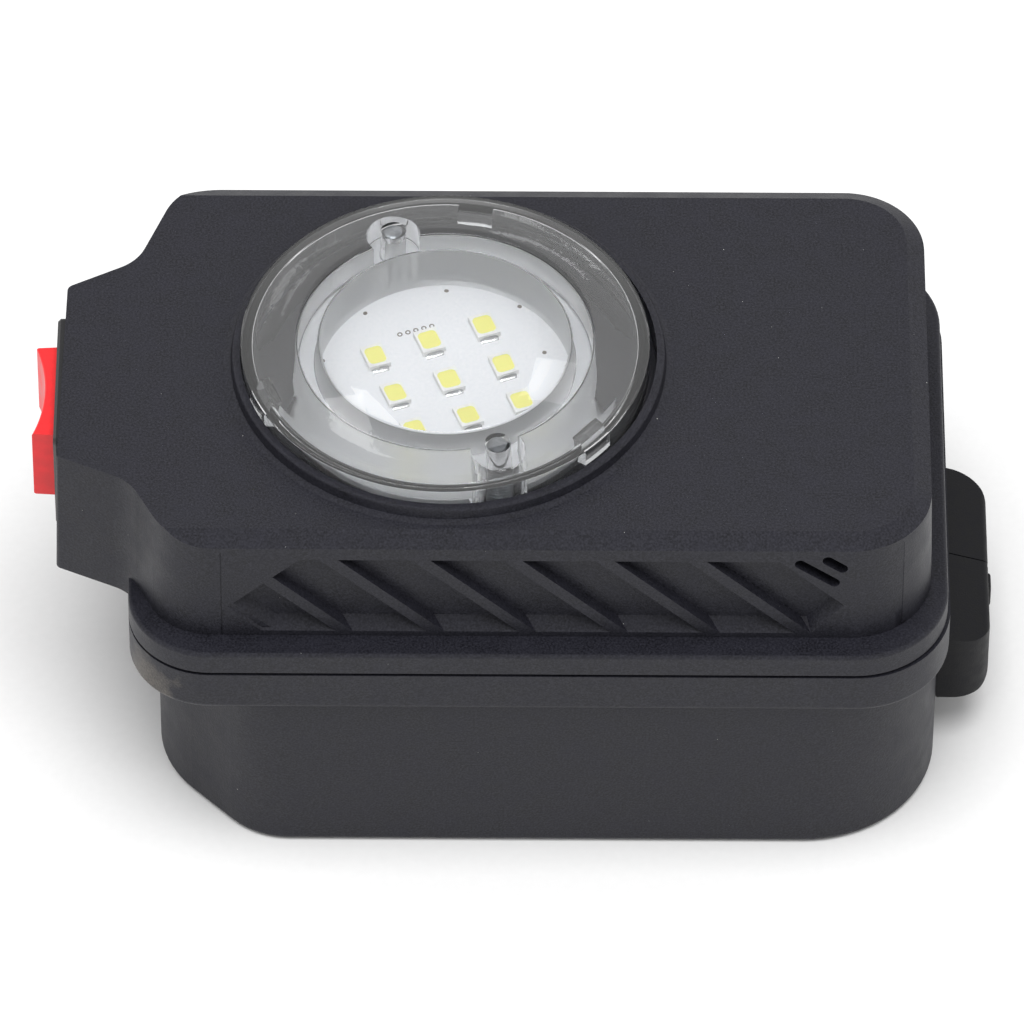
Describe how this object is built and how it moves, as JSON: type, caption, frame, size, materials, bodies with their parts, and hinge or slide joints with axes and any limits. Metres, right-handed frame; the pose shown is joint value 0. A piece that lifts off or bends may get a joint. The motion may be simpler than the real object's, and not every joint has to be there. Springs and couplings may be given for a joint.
{
  "type": "miner's cap lamp",
  "caption": "Cordless cap lamp: black two-part housing with a round clear window over LED emitters, a red rocker switch on the nose and rubber port flaps.",
  "frame": {"origin": "centre of the bounding box's bottom face, on the plane of the flat back", "axes": "+X from the switch to the port flaps, +Y away from the louvred wall, +Z the way the lamp shines"},
  "size_m": [0.1172, 0.0674, 0.0566],
  "materials": {
    "housing_abs": "fine moulded texture",
    "gasket_rubber": "matte",
    "window_clear": "clear polycarbonate, gloss",
    "aluminium_plate": "plain",
    "white_board": "white solder mask",
    "led_plastic": "white",
    "phosphor": "yellow silicone",
    "zinc_steel": "zinc plated",
    "switch_black": "moulded nylon",
    "rocker_red": "moulded gloss",
    "brass_contact": "bright",
    "cell_wrap": "shrink wrap",
    "nickel": "plain",
    "green_board": "solder mask",
    "foam": "closed cell foam",
    "chip_epoxy": "moulded epoxy",
    "ferrite": "ferrite",
    "tinned_steel": "tin plated",
    "flap_rubber": "matte",
    "spring_steel": "blued",
    "wire_red": "PVC",
    "wire_black": "PVC"
  },
  "bodies": {
    "housing": {"upper_housing": "housing_abs", "lower_shell": "housing_abs", "seam_gasket": "gasket_rubber", "lens": "window_clear", "lens_gasket": "gasket_rubber", "heat_spreader": "aluminium_plate", "led_board": "white_board", "led_frames": "led_plastic", "led_phosphors": "phosphor", "lens_screws": "zinc_steel", "switch_body": "switch_black", "switch_terminals": "brass_contact", "cell_front": "cell_wrap", "cell_middle": "cell_wrap", "cell_back": "cell_wrap", "cell_cradles": "housing_abs", "nickel_strips": "nickel", "protection_board": "green_board", "battery_foam": "foam", "control_board": "green_board", "control_chips": "chip_epoxy", "inductor": "ferrite", "usb_socket": "tinned_steel", "usb_tongue": "chip_epoxy", "dc_socket": "switch_black", "dc_pin": "tinned_steel", "board_screws": "zinc_steel", "flap_straps": "flap_rubber", "case_screws": "zinc_steel", "cap_clip": "spring_steel", "clip_screws": "zinc_steel", "led_wires": "wire_red", "battery_wires": "wire_black", "switch_wires": "wire_red"},
    "rocker": {"switch_rocker": "rocker_red", "switch_plunger": "switch_black"},
    "contact": {"switch_contact": "brass_contact"},
    "flap_front": {"port_flap_front": "flap_rubber"},
    "flap_back": {"port_flap_back": "flap_rubber"}
  },
  "joints": [
    {"name": "rocker_tilt", "type": "hinge", "parent": "housing", "child": "rocker", "pos_m": [-0.054, -0.002, 0.0426], "axis": [0, 0, 1], "range_deg": [0, 12]},
    {"name": "contact_tilt", "type": "hinge", "parent": "housing", "child": "contact", "pos_m": [-0.0482, -0.002, 0.0426], "axis": [0, 0, 1], "range_deg": [-9.6, 0]},
    {"name": "front_flap_swing", "type": "hinge", "parent": "housing", "child": "flap_front", "pos_m": [0.05165, -0.0145, 0.012], "axis": [0, 0, -1], "range_deg": [0, 90]},
    {"name": "back_flap_swing", "type": "hinge", "parent": "housing", "child": "flap_back", "pos_m": [0.05165, 0.0145, 0.012], "axis": [0, 0, 1], "range_deg": [0, 90]}
  ],
  "couplings": [
    {"joint": "contact_tilt", "follows": "rocker_tilt", "ratio": -0.8}
  ]
}
